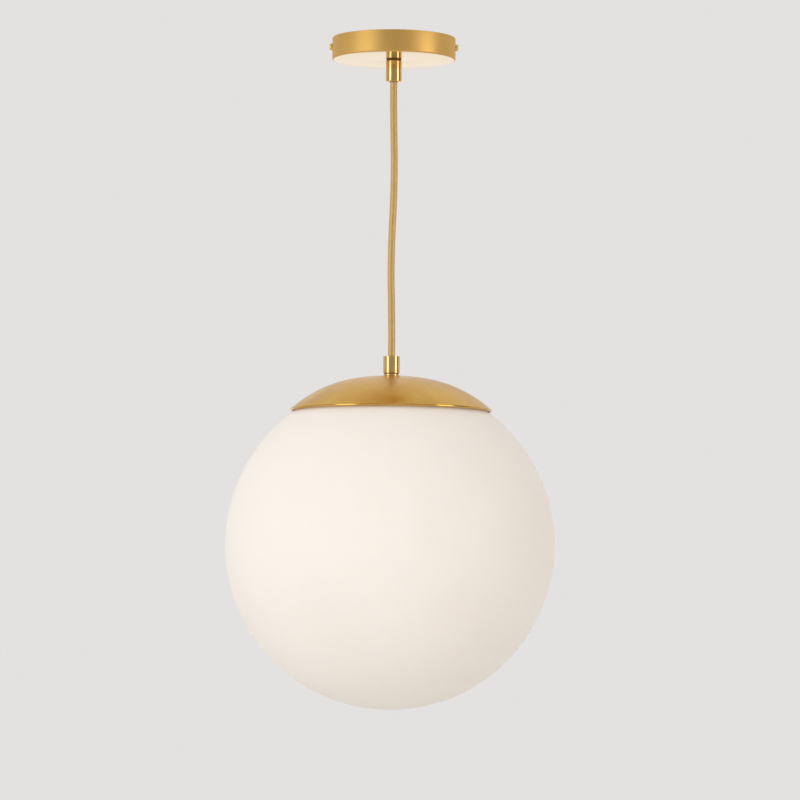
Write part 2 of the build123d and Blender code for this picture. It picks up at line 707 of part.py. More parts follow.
TERMINAL_H = 5.0
HOLDER_WIRE_Z = INSULATOR_TOP + 2.4
with BuildPart() as lampholder_terminals:
    with BuildSketch(Plane.XY.offset(INSULATOR_TOP)):
        with Locations((-10, 0), (10, 0)):
            Rectangle(6, 7)
    extrude(amount=TERMINAL_H)
    with BuildSketch(Plane.YZ):
        with Locations((0, HOLDER_WIRE_Z)):
            Circle(CORE_D / 2 + FIT)
    extrude(amount=HOLDER_R, both=True, mode=Mode.SUBTRACT)
    with BuildSketch(Plane.XY.offset(HOLDER_WIRE_Z)):
        with Locations((-10, 0), (10, 0)):
            Circle(GRUB_R + FIT)
    extrude(amount=TERMINAL_H, mode=Mode.SUBTRACT)
save(lampholder_terminals, "lampholder_terminals")

with BuildPart() as lampholder_terminal_screws:
    with BuildSketch(Plane.XY.offset(INSULATOR_TOP + TERMINAL_H)):
        with Locations((-10, 0), (10, 0)):
            Circle(2.6)
    extrude(amount=1.6)
    with BuildSketch(Plane.XY.offset(HOLDER_WIRE_Z + CORE_D / 2 + FIT)):
        with Locations((-10, 0), (10, 0)):
            Circle(GRUB_R)
    extrude(amount=INSULATOR_TOP + TERMINAL_H - HOLDER_WIRE_Z - CORE_D / 2 - FIT)
save(lampholder_terminal_screws, "lampholder_terminal_screws")

BULB_TOP = SHELL_TOP - 3.6
with BuildPart() as lampholder_centre_contact:
    with BuildSketch(Plane.XZ):
        with BuildLine():
            FilletPolyline(
                (-10.5, SHELL_TOP - 0.25),
                (-5.5, SHELL_TOP - 0.25),
                (0, BULB_TOP + 0.65),
                (4.0, BULB_TOP + 1.1),
                radius=1.5,
            )
        trace(line_width=0.4)
    extrude(amount=3.0, both=True)
save(lampholder_centre_contact, "lampholder_centre_contact")

for core_label, side in (("core_brown_lower", -1), ("core_blue_lower", 1)):
    core(
        core_label,
        [
            (side * CORE_X, CORE_Y, TAIL_LOW_BOTTOM),
            (side * CORE_X, CORE_Y, TAIL_LOW_BOTTOM - 5.0),
            (side * 4.6, 0, HOLDER_WIRE_Z),
            (side * 12.0, 0, HOLDER_WIRE_Z),
        ],
        2.0,
    )
core(
    "core_earth_lower",
    [
        (0, -CORE_RING_R, TAIL_LOW_BOTTOM),
        (0, -CORE_RING_R, TAIL_LOW_BOTTOM - 4.5),
        (0, -9.0, EARTH_SCREW_Z),
        (0, -HOLDER_R + HOLDER_WALL + 3.05, EARTH_SCREW_Z),
    ],
    2.0,
)

# ================================================================ LED lamp, 60 mm with E27 cap
CAP_SHELL_TOP = BULB_TOP - 3.6
CAP_SHELL_BOTTOM = BULB_TOP - 26.0
BULB_R = BULB_D / 2
BULB_CENTRE_Z = BULB_TOP - BULB_LEN + BULB_R
BODY_R = 26.2
BODY_BOTTOM = BULB_CENTRE_Z + sqrt(BULB_R**2 - BODY_R**2)
BODY_WALL = 1.6

with BuildPart() as bulb_contact:
    with BuildSketch(Plane.XY.offset(BULB_TOP - 1.0)):
        Circle(4.8)
    extrude(amount=1.0)
    fillet(bulb_contact.edges().group_by(Axis.Z)[-1], radius=0.6)
save(bulb_contact, "bulb_contact")

with BuildPart() as bulb_cap_insulator:
    with BuildSketch(Plane.XY.offset(CAP_SHELL_TOP)):
        Circle(11.5)
    with BuildSketch(Plane.XY.offset(BULB_TOP - 1.0)):
        Circle(5.5)
    loft()
save(bulb_cap_insulator, "bulb_cap_insulator")

ring("bulb_cap", E27_SHELL_R, E27_SHELL_R - 0.35, CAP_SHELL_TOP, CAP_SHELL_TOP - CAP_SHELL_BOTTOM)

PLUG_R = E27_SHELL_R - 0.4
with BuildPart() as bulb_body:
    with BuildSketch(Plane.XZ):
        with BuildLine():
            flare = Spline(
                (PLUG_R + 1.0, CAP_SHELL_BOTTOM - 0.05),
                (19.0, CAP_SHELL_BOTTOM - 16.0),
                (BODY_R, BODY_BOTTOM),
                tangents=((0.1, -1), (0.45, -1)),
            )
            foot = Line(flare @ 1, (BODY_R - BODY_WALL, BODY_BOTTOM))
            flare_inside = Spline(
                foot @ 1,
                (19.0 - BODY_WALL, CAP_SHELL_BOTTOM - 16.0),
                (PLUG_R - BODY_WALL, CAP_SHELL_BOTTOM - 0.05),
                tangents=((-0.45, 1), (-0.1, 1)),
            )
            bore = Line(flare_inside @ 1, (PLUG_R - BODY_WALL, CAP_SHELL_TOP - 8.0))
            plug_end = Line(bore @ 1, (PLUG_R, CAP_SHELL_TOP - 8.0))
            plug = Line(plug_end @ 1, (PLUG_R, CAP_SHELL_BOTTOM - 0.05))
            Line(plug @ 1, flare @ 0)
        make_face()
    revolve(axis=Axis.Z)
save(bulb_body, "bulb_body")

DIFFUSER_TOP = BODY_BOTTOM - 0.05
DIFFUSER_WALL = 1.2
with BuildPart() as bulb_diffuser:
    with BuildSketch(Plane.XZ):
        rim_angle = degrees(acos(sqrt(BULB_R**2 - (DIFFUSER_TOP - BULB_CENTRE_Z) ** 2) / BULB_R))
        with BuildLine():
            dome_out = CenterArc((0, BULB_CENTRE_Z), BULB_R, -90, 90 + rim_angle)
            dome_in = CenterArc((0, BULB_CENTRE_Z), BULB_R - DIFFUSER_WALL, -90, 90 + rim_angle)
            Line(dome_out @ 0, dome_in @ 0)
            Line(dome_out @ 1, dome_in @ 1)
        make_face()
    revolve(axis=Axis.Z)
save(bulb_diffuser, "bulb_diffuser")

BOARD_TOP = BODY_BOTTOM - 1.0
BOARD_R = 22.0
with BuildPart() as led_board:
    with BuildSketch(Plane.XY.offset(BOARD_TOP - 1.5)):
        Circle(BOARD_R)
        Circle(2.0, mode=Mode.SUBTRACT)
    extrude(amount=1.5)
save(led_board, "led_board")

LED_COUNT = 12
with BuildPart() as led_chips:
    with BuildSketch(Plane.XY.offset(BOARD_TOP - 2.3)):
        with PolarLocations(15.0, LED_COUNT):
            Rectangle(2.8, 3.5)
    extrude(amount=0.8)
save(led_chips, "led_chips")

with BuildPart() as driver_board:
    with BuildSketch(Plane.XZ):
        with Locations((0, BOARD_TOP + 15.0)):
            Rectangle(20.0, 27.0)
    extrude(amount=0.8, both=True)
    with BuildSketch(Plane.XZ.offset(0.8)):
        with Locations((3.0, BOARD_TOP + 9.0)):
            Circle(4.0)
    extrude(amount=7.0)
    with BuildSketch(Plane.XZ.offset(-0.8)):
        with Locations((-2.0, BOARD_TOP + 11.0)):
            Rectangle(9.0, 8.0)
    extrude(amount=-6.0)
save(driver_board, "driver_board")
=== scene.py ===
import math
import bmesh
import bpy
from mathutils import Matrix, Vector


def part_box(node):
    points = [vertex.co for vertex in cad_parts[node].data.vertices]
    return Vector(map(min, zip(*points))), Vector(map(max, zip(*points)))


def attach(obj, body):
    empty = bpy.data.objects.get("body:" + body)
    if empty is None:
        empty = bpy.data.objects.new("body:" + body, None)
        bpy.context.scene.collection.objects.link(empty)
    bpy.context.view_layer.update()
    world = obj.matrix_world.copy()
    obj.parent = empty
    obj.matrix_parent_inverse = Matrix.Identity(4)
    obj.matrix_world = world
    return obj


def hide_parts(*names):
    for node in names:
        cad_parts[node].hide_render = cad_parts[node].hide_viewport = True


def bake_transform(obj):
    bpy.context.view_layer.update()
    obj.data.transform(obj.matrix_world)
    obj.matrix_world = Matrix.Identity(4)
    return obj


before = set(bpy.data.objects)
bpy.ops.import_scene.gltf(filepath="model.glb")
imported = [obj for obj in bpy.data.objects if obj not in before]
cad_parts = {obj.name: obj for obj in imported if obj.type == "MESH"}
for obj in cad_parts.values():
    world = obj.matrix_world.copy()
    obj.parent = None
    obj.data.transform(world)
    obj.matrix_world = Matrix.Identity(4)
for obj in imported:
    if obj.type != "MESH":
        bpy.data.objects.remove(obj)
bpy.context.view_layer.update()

MM = 0.001
AXIS_X = Vector((1, 0, 0))
FINE_FACETS = 256
SMALL_FACETS = 128
SHARP_ANGLE = math.radians(40)


# ================================================================ camera
CAMERA_PLACE = Vector((0.008, -3.61, -0.555))
CAMERA_PITCH = math.radians(93.535)
CAMERA_ROLL = math.radians(0.44)
CAMERA_LENS = 178.46


def make_camera():
    """The photograph's view: a long lens, a little below the light and looking slightly up."""
    camera = bpy.data.objects.new("camera", bpy.data.cameras.new("camera"))
    bpy.context.scene.collection.objects.link(camera)
    camera.data.lens = CAMERA_LENS
    camera.data.sensor_width = 36.0
    camera.location = CAMERA_PLACE
    turn = Matrix.Rotation(CAMERA_PITCH, 4, "X") @ Matrix.Rotation(CAMERA_ROLL, 4, "Z")
    camera.rotation_euler = turn.to_euler()
    bpy.context.scene.camera = camera


make_camera()


# ================================================================ material helpers
class Paint:
    """A principled material and short ways to wire procedural detail into it."""

    def __init__(self, name, color, roughness, metallic=0.0):
        self.material = bpy.data.materials.new(name)
        self.material.use_nodes = True
        self.nodes = self.material.node_tree.nodes
        self.links = self.material.node_tree.links
        self.shader = self.nodes["Principled BSDF"]
        self.shader.inputs["Base Color"].default_value = (*color, 1.0)
        self.shader.inputs["Roughness"].default_value = roughness
        self.shader.inputs["Metallic"].default_value = metallic
        self.coordinates = self.nodes.new("ShaderNodeTexCoord")

    def link(self, source, target):
        self.links.new(source, target)

    def place(self, kind="Object", scale=(1, 1, 1)):
        """Texture coordinates stretched by scale."""
        mapping = self.nodes.new("ShaderNodeMapping")
        mapping.inputs["Scale"].default_value = scale
        self.link(self.coordinates.outputs[kind], mapping.inputs["Vector"])
        return mapping.outputs["Vector"]

    def radius(self):
        """Distance off the hanging axis, in metres."""
        flat = self.nodes.new("ShaderNodeVectorMath")
        flat.operation = "LENGTH"
        self.link(self.place(scale=(1, 1, 0)), flat.inputs[0])
        return flat.outputs["Value"]

    def turned_place(self, across, along):
        """Coordinates that change with radius and height, and only slowly round the axis."""
        split = self.nodes.new("ShaderNodeSeparateXYZ")
        self.link(self.coordinates.outputs["Object"], split.inputs["Vector"])
        radius = self.radius()
        angle = self.math("ARCTAN2", split.outputs["Y"], split.outputs["X"])
        join = self.nodes.new("ShaderNodeCombineXYZ")
        self.link(self.math("MULTIPLY", radius, across), join.inputs["X"])
        self.link(self.math("MULTIPLY", angle, along), join.inputs["Y"])
        self.link(self.math("MULTIPLY", split.outputs["Z"], across), join.inputs["Z"])
        return join.outputs["Vector"]

    def math(self, operation, first, second=None, third=None):
        node = self.nodes.new("ShaderNodeMath")
        node.operation = operation
        for socket, value in zip(node.inputs, (first, second, third)):
            if isinstance(value, bpy.types.NodeSocket):
                self.link(value, socket)
            elif value is not None:
                socket.default_value = value
        return node.outputs["Value"]

    def noise(self, place, scale, detail=3.0, rough=0.55):
        node = self.nodes.new("ShaderNodeTexNoise")
        node.inputs["Scale"].default_value = scale
        node.inputs["Detail"].default_value = detail
        node.inputs["Roughness"].default_value = rough
        self.link(place, node.inputs["Vector"])
        return node.outputs["Fac"]

    def cells(self, place, scale):
        node = self.nodes.new("ShaderNodeTexVoronoi")
        node.inputs["Scale"].default_value = scale
        self.link(place, node.inputs["Vector"])
        return node.outputs["Color"]

    def spread(self, value, low, high, start=0.3, end=0.7):
        """Maps value from start..end to low..high, clamped."""
        node = self.nodes.new("ShaderNodeMapRange")
        for name, number in (("From Min", start), ("From Max", end), ("To Min", low), ("To Max", high)):
            node.inputs[name].default_value = number
        self.link(value, node.inputs["Value"])
        return node.outputs["Result"]

    def colors(self, value, *stops):
        """A colour ramp: each stop is (position, (r, g, b))."""
        node = self.nodes.new("ShaderNodeValToRGB")
        ramp = node.color_ramp
        while len(ramp.elements) < len(stops):
            ramp.elements.new(0.5)
        for element, (position, color) in zip(ramp.elements, stops):
            element.position = position
            element.color = (*color, 1.0)
        self.link(value, node.inputs["Fac"])
        self.link(node.outputs["Color"], self.shader.inputs["Base Color"])

    def overlay(self, mask, color):
        """Lays a colour over the base colour where the mask is 1."""
        node = self.nodes.new("ShaderNodeMix")
        node.data_type = "RGBA"
        base = self.shader.inputs["Base Color"].links[0].from_socket
        self.link(mask, node.inputs["Factor"])
        first, second = (socket for socket in node.inputs if socket.type == "RGBA")
        self.link(base, first)
        second.default_value = (*color, 1.0)
        result = next(socket for socket in node.outputs if socket.type == "RGBA")
        self.link(result, self.shader.inputs["Base Color"])

    def rough(self, value):
        self.link(value, self.shader.inputs["Roughness"])

    def bump(self, *layers):
        """Bump layers of (height, distance in metres, strength), laid over each other."""
        previous = None
        for height, distance, strength in layers:
            node = self.nodes.new("ShaderNodeBump")
            node.inputs["Distance"].default_value = distance
            node.inputs["Strength"].default_value = strength
            self.link(height, node.inputs["Height"])
            if previous is not None:
                self.link(previous, node.inputs["Normal"])
            previous = node.outputs["Normal"]
        self.link(previous, self.shader.inputs["Normal"])


# ================================================================ materials
POLISH_EDGE = 0.0006
YARN_TWIST = 5200.0


def brass(name, dark, light, roughness, mottle, lines, line_depth=0.2, under=None, bright_from=None):
    """Turned brass: fine tool lines round the axis, and soft cloudy mottling in the lacquer.

    under is the roughness and colour of the faces that look straight down, where they
    differ, and bright_from the distance off the axis, in metres, beyond which the edge
    is polished.
    """
    paint = Paint(name, light, roughness, 1.0)
    place = paint.place()
    clouds = paint.noise(place, mottle, 3.0, 0.5)
    fine = paint.noise(paint.turned_place(1.0, 0.004), lines, 2.0)
    paint.colors(clouds, (0.34, dark), (0.62, light))
    smudges = paint.spread(paint.noise(place, mottle * 1.7, 2.0), roughness - 0.04, roughness + 0.05)
    sheen = paint.math("ADD", smudges, paint.spread(fine, -0.02, 0.02))
    if under is not None:
        under_roughness, under_color = under
        split = paint.nodes.new("ShaderNodeSeparateXYZ")
        paint.link(paint.coordinates.outputs["Normal"], split.inputs["Vector"])
        facing_down = paint.spread(split.outputs["Z"], 1.0, 0.0, -0.995, -0.93)
        change = paint.math("MULTIPLY", facing_down, under_roughness - roughness)
        sheen = paint.math("ADD", sheen, change)
        paint.overlay(facing_down, under_color)
    if bright_from is not None:
        off_axis = paint.radius()
        polish = paint.spread(off_axis, 0.0, -0.18, bright_from, bright_from + POLISH_EDGE)
        sheen = paint.math("ADD", sheen, polish)
    paint.rough(sheen)
    paint.bump((clouds, 0.0008, 0.05), (fine, 0.00001, line_depth))
    return paint.material


def steel(name, color, roughness, grain):
    """Zinc-plated or rolled steel: spangle cells with fine scratches."""
    paint = Paint(name, color, roughness, 1.0)
    place = paint.place()
    spangle = paint.noise(paint.cells(place, grain), 2.0, 2.0)
    dark = tuple(c * 0.8 for c in color)
    paint.colors(spangle, (0.3, dark), (0.7, color))
    scratches = paint.noise(paint.place(scale=(40, 900, 900)), 1.0, 2.0)
    paint.rough(paint.spread(scratches, roughness - 0.06, roughness + 0.1))
    paint.bump((scratches, 0.00002, 0.3))
    return paint.material


def plastic(name, color, roughness, speckle=900.0, depth=0.00003):
    """Moulded plastic or rubber with a fine even texture and slight tone changes."""
    paint = Paint(name, color, roughness)
    place = paint.place()
    tone = paint.noise(place, 60.0, 3.0)
    paint.colors(tone, (0.3, tuple(c * 0.92 for c in color)), (0.7, color))
    grain = paint.noise(place, speckle, 2.0)
    paint.rough(paint.spread(grain, roughness - 0.05, roughness + 0.06))
    paint.bump((grain, depth, 0.4))
    return paint.material


def earth_insulation():
    """Green insulation with a yellow stripe down one side."""
    paint = Paint("earth_insulation", (0.1, 0.4, 0.08), 0.45)
    split = paint.nodes.new("ShaderNodeSeparateXYZ")
    paint.link(paint.coordinates.outputs["Normal"], split.inputs["Vector"])
    side = paint.math("ADD", split.outputs["X"], paint.math("MULTIPLY", split.outputs["Z"], 0.6))
    wobble = paint.math("ADD", side, paint.spread(paint.noise(paint.place(), 300.0), -0.15, 0.15))
    stripe = paint.spread(wobble, 0.0, 1.0, -0.05, 0.05)
    paint.colors(stripe, (0.45, (0.06, 0.33, 0.06)), (0.55, (0.83, 0.7, 0.06)))
    paint.rough(paint.spread(paint.noise(paint.place(), 1200.0), 0.4, 0.5))
    return paint.material


def opal_glass():
    """Acid-etched opal glass: milky and satin, with the slight waviness of blown glass and a painted warm
    glow.
    """
    paint = Paint("opal_glass", (0.88, 0.845, 0.81), 0.55)
    place = paint.place()
    milk = paint.noise(place, 9.0, 3.0)
    paint.colors(milk, (0.3, (0.865, 0.83, 0.792)), (0.7, (0.895, 0.862, 0.825)))
    etch = paint.noise(place, 2600.0, 2.0)
    paint.rough(paint.spread(paint.noise(place, 35.0, 4.0), 0.5, 0.58))
    paint.bump((paint.noise(place, 14.0, 1.0), 0.0012, 0.1), (etch, 0.00001, 0.25))
    shader = paint.shader
    shader.inputs["Subsurface Weight"].default_value = 0.35
    shader.inputs["Subsurface Radius"].default_value = (1.0, 0.75, 0.55)
    shader.inputs["Subsurface Scale"].default_value = 0.02
    # painted glow: the glass is no lamp, and this warm emission stands in for warm light on the globe
    shader.inputs["Emission Color"].default_value = (1.0, 0.74, 0.48, 1.0)
    shader.inputs["Emission Strength"].default_value = 0.1
    shader.inputs["IOR"].default_value = 1.5
    return paint.material


def braid_yarn(name, plies):
    """Gold rayon yarn: parallel twisted plies across each strand, with a silky sheen."""
    paint = Paint(name, (0.71, 0.475, 0.185), 0.33, 0.8)
    split = paint.nodes.new("ShaderNodeSeparateXYZ")
    paint.link(paint.coordinates.outputs["UV"], split.inputs["Vector"])
    across = paint.math("MULTIPLY", split.outputs["Y"], plies * math.tau)
    ply = paint.math("SINE", across)
    along = paint.math("MULTIPLY", split.outputs["X"], YARN_TWIST)
    twist = paint.math("SINE", paint.math("ADD", along, across))
    tone = paint.noise(paint.place(scale=(1, 1, 0.5)), 420.0, 3.0)
    mixed = paint.math("ADD", tone, paint.math("MULTIPLY", ply, 0.07))
    paint.colors(
        mixed,
        (0.3, (0.67, 0.445, 0.17)),
        (0.5, (0.71, 0.475, 0.185)),
        (0.7, (0.76, 0.515, 0.205)),
    )
    paint.rough(paint.spread(tone, 0.3, 0.36))
    paint.bump((ply, 0.00003, 0.4), (twist, 0.00001, 0.3))
    paint.shader.inputs["Sheen Weight"].default_value = 0.08
    paint.shader.inputs["Sheen Roughness"].default_value = 0.4
    paint.shader.inputs["Sheen Tint"].default_value = (1.0, 0.88, 0.62, 1.0)
    return paint.material


def diffuser_plastic():
    """The lamp's frosted dome."""
    paint = Paint("lamp_diffuser", (0.93, 0.92, 0.9), 0.42)
    grain = paint.noise(paint.place(), 1800.0, 2.0)
    paint.rough(paint.spread(grain, 0.38, 0.48))
    paint.bump((grain, 0.00001, 0.3))
    paint.shader.inputs["Subsurface Weight"].default_value = 0.3
    paint.shader.inputs["Subsurface Scale"].default_value = 0.01
    paint.shader.inputs["Emission Color"].default_value = (1.0, 0.85, 0.66, 1.0)
    paint.shader.inputs["Emission Strength"].default_value = 0.25
    return paint.material


def porcelain():
    """Glazed porcelain, slightly uneven in tone and gloss."""
    paint = Paint("porcelain", (0.86, 0.85, 0.82), 0.16)
    place = paint.place()
    paint.colors(paint.noise(place, 90.0, 4.0), (0.3, (0.82, 0.81, 0.77)), (0.7, (0.88, 0.87, 0.84)))
    paint.rough(paint.spread(paint.noise(place, 400.0), 0.12, 0.24))
    paint.bump((paint.noise(place, 220.0, 2.0), 0.00004, 0.3))
    return paint.material


def circuit_board(name, mask, track):
    """Solder mask over copper tracks."""
    paint = Paint(name, mask, 0.4)
    tracks = paint.cells(paint.place(), 330.0)
    paint.colors(paint.noise(tracks, 3.0, 0.0), (0.48, mask), (0.52, track))
    paint.rough(paint.spread(paint.noise(paint.place(), 700.0), 0.33, 0.48))
    return paint.material


SATIN = brass("satin_brass", (0.64, 0.36, 0.075), (0.74, 0.45, 0.11), 0.29, 24.0, 2600.0, 0.04,
              bright_from=0.0906)
CUP = brass("cup_brass", (0.75, 0.455, 0.13), (0.79, 0.495, 0.15), 0.5, 14.0, 2200.0, 0.05,
            under=(0.07, (0.83, 0.64, 0.38)))
TURNED = brass("turned_grip_brass", (0.74, 0.465, 0.165), (0.83, 0.54, 0.235), 0.15, 60.0, 3600.0)
POLISHED = brass("polished_brass", (0.78, 0.52, 0.13), (0.88, 0.63, 0.18), 0.1, 200.0, 5000.0)
# painted shadow: brass darkened to stand in for the shade in the seam between a collar and its grip
SEAM_SHADOW_PAINT = brass("painted_seam_shadow", (0.13, 0.075, 0.02), (0.2, 0.12, 0.035), 0.5, 90.0, 3000.0)
PLAIN_BRASS = brass("machined_brass", (0.62, 0.46, 0.22), (0.74, 0.57, 0.3), 0.25, 150.0, 4200.0)
ZINC = steel("zinc_steel", (0.62, 0.64, 0.65), 0.34, 260.0)
SPRING = steel("spring_steel", (0.5, 0.5, 0.51), 0.24, 700.0)
NICKEL = steel("nickel_plate", (0.7, 0.69, 0.66), 0.18, 900.0)
YARN = braid_yarn("textile_flex", 4)
BROWN = plastic("brown_insulation", (0.16, 0.07, 0.035), 0.42)
BLUE = plastic("blue_insulation", (0.03, 0.14, 0.5), 0.42)
EARTH = earth_insulation()
BLOCK = plastic("block_plastic", (0.78, 0.77, 0.72), 0.5)
SILICONE = plastic("silicone", (0.83, 0.82, 0.78), 0.55)
OPAL = opal_glass()
LAMP_WHITE = plastic("lamp_plastic", (0.86, 0.86, 0.84), 0.45)
DIFFUSER = diffuser_plastic()
PORCELAIN = porcelain()
BLACK_GLASS = plastic("black_glass", (0.015, 0.015, 0.018), 0.12)
LED_BOARD = circuit_board("board_aluminium", (0.82, 0.82, 0.8), (0.7, 0.7, 0.68))
GREEN_BOARD = circuit_board("board_green", (0.02, 0.16, 0.06), (0.05, 0.3, 0.12))
PHOSPHOR = plastic("led_yellow", (0.85, 0.68, 0.14), 0.3)

NODE_FINISH = {
    POLISHED: ["canopy_screws", "earth_screw", "lampholder_earth_screw"],
    PLAIN_BRASS: ["upper_nipple", "lower_nipple", "terminal_inserts", "lampholder_terminals",
                  "lampholder_centre_contact"],
    ZINC: ["mounting_bracket", "terminal_screws", "terminal_block_screw", "upper_washer",
           "upper_lock_nut", "upper_grip_screw", "lower_grip_screw", "lower_washer",
           "lower_lock_nuts", "holder_plate", "lampholder_lock_screw",
           "lampholder_terminal_screws", "earth_tag"],
    SPRING: ["holder_springs", "holder_rivets"],
    NICKEL: ["bulb_contact"],
    BROWN: ["core_brown_upper", "core_brown_lower"],
    BLUE: ["core_blue_upper", "core_blue_lower"],
    EARTH: ["core_earth_upper", "core_earth_lower", "earth_lead"],
    BLOCK: ["terminal_block"],
    SILICONE: ["globe_gasket"],
    PORCELAIN: ["lampholder_insulator"],
    BLACK_GLASS: ["bulb_cap_insulator"],
    LED_BOARD: ["led_board"],
    PHOSPHOR: ["led_chips"],
    GREEN_BOARD: ["driver_board"],
}


def finish_nodes():
    """Each CAD node that stays in view takes its procedural material."""
    for material, names in NODE_FINISH.items():
        for name in names:
            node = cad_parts[name]
            node.data.materials.clear()
            node.data.materials.append(material)


finish_nodes()


# ================================================================ mesh helpers
def add_piece(name, vertices, faces, material, body, node):
    """A finished mesh that stands for one CAD node and rides on its body."""
    mesh = bpy.data.meshes.new(name)
    mesh.from_pydata(vertices, [], faces)
    mesh.materials.append(material)
    piece = bpy.data.objects.new(name, mesh)
    bpy.context.scene.collection.objects.link(piece)
    tidy = bmesh.new()
    tidy.from_mesh(mesh)
    bmesh.ops.remove_doubles(tidy, verts=tidy.verts, dist=1e-7)
    bmesh.ops.recalc_face_normals(tidy, faces=tidy.faces)
    tidy.to_mesh(mesh)
    tidy.free()
    mesh.shade_smooth()
    mesh.set_sharp_from_angle(angle=SHARP_ANGLE)
    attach(piece, body)
    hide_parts(node)
    return piece


def rounded(*corners, steps=6):
    """A closed outline through (r, z, corner radius) points in millimetres, its corners rounded."""
    outline = []
    for i, (r, z, radius) in enumerate(corners):
        here = Vector((r, z))
        if not radius:
            outline.append(here)
            continue
        to_last = (Vector(corners[i - 1][:2]) - here).normalized()
        to_next = (Vector(corners[(i + 1) % len(corners)][:2]) - here).normalized()
        half = to_last.angle(to_next) / 2
        centre = here + (to_last + to_next).normalized() * (radius / math.sin(half))
        start = here + to_last * (radius / math.tan(half)) - centre
        turn = math.pi - 2 * half
        if to_last.cross(to_next) > 0:
            turn = -turn
        for k in range(steps + 1):
            outline.append(centre + Matrix.Rotation(turn * k / steps, 2) @ start)
    return outline


def dome(centre_z, radius, from_r, to_r, steps, upper=True):
    """Points of a sphere's outline from one distance off the axis to another, in millimetres."""
    first = math.asin(from_r / radius)
    last = math.asin(to_r / radius)
    up = 1 if upper else -1
    angles = [first + (last - first) * k / steps for k in range(steps + 1)]
    return [Vector((radius * math.sin(a), centre_z + up * radius * math.cos(a))) for a in angles]


def turned(name, outline, material, body, node, closed=True, facets=SMALL_FACETS):
    """A piece turned on a lathe: the outline, in millimetres, swept round the hanging axis."""
    count = len(outline)
    vertices = []
    for i in range(facets):
        angle = math.tau * i / facets
        cos_a, sin_a = math.cos(angle), math.sin(angle)
        vertices += [(p.x * MM * cos_a, p.x * MM * sin_a, p.y * MM) for p in outline]
    faces = []
    for i in range(facets):
        for k in range(count if closed else count - 1):
            here, beside = i * count, (i + 1) % facets * count
            after = (k + 1) % count
            faces.append((here + k, beside + k, beside + after, here + after))
    return add_piece(name, vertices, faces, material, body, node)


def levels(node):
    """A node's outer radius, bottom and top in millimetres."""
    low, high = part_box(node)
    return high[1] / MM, low[2] / MM, high[2] / MM


# ================================================================ the flex
GRIP_MOUTH_Z = levels("upper_cord_grip")[1]
CORD_END_Z = levels("lower_cord_grip")[2]
CORD_ROUTE = [
    (0, 0, GRIP_MOUTH_Z),
    (0, 0, -70.0),
    (1.7, -0.3, -129.0),
    (-1.6, 0.3, -205.0),
    (0, 0, -258.0),
    (0, 0, CORD_END_Z),
]
CORD_D = 6.5
BRAID_CARRIERS = 16
BRAID_PITCH = 28.0
BRAID_WAVE = 0.11
STRAND_HALF_W = 0.54
STRAND_HALF_T = 0.11
STRAND_SIDES = 8
STRAND_STEP = 0.75
CORD_LINER_R = 2.85
LINER_SIDES = 24


def route_line(points):
    """The smooth line that a NURBS spline makes of a route's points, in metres."""
    curve = bpy.data.curves.new("route", "CURVE")
    curve.dimensions = "3D"
    curve.resolution_u = 24
    spline = curve.splines.new("NURBS")
    spline.points.add(len(points) - 1)
    for point, place in zip(spline.points, points):
        point.co = (*(c * MM for c in place), 1.0)
    spline.order_u = 3
    spline.use_endpoint_u = True
    holder = bpy.data.objects.new("route", curve)
    bpy.context.scene.collection.objects.link(holder)
    mesh = bpy.data.meshes.new_from_object(holder)
    line = [v.co.copy() for v in mesh.vertices]
    bpy.data.objects.remove(holder)
    bpy.data.meshes.remove(mesh)
    bpy.data.curves.remove(curve)
    return line


def walker(line):
    """A function from distance along a line, in metres, to (place, direction), and its length."""
    marks = [0.0]
    for a, b in zip(line, line[1:]):
        marks.append(marks[-1] + (b - a).length)

    def at(distance):
        distance = min(max(distance, 0.0), marks[-1])
        k = next((i for i in range(1, len(marks)) if marks[i] >= distance), len(marks) - 1)
        run = line[k] - line[k - 1]
        part = (distance - marks[k - 1]) / (marks[k] - marks[k - 1])
        return line[k - 1] + run * part, run.normalized()

    return at, marks[-1]


